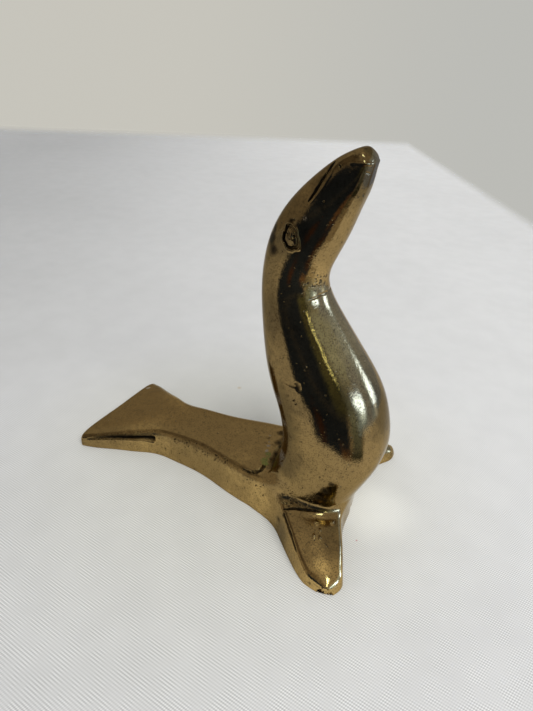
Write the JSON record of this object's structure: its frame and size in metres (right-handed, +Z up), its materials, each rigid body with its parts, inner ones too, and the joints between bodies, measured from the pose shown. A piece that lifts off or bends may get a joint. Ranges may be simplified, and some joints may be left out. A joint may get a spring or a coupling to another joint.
{
  "type": "seal figurine",
  "caption": "Small solid brass figurine of a sitting seal with its nose raised, front flippers spread to the sides and a flat tail fan behind.",
  "frame": {"origin": "on the table under the middle of the overall length and width", "axes": "+Z up, +X towards the nose and the chest, +Y towards the seal's left"},
  "size_m": [0.0968, 0.0632, 0.1015],
  "materials": {
    "brass": "aged brass, polished, with dark grime in the creases",
    "brass_dull": "aged brass, brown and only half polished, speckled with pits"
  },
  "bodies": {
    "root": {"head_and_neck": "brass", "chest_and_shoulders": "brass", "hind_body": "brass_dull", "tail_fan": "brass_dull", "front_flipper_right": "brass", "front_flipper_left": "brass"}
  },
  "joints": []
}
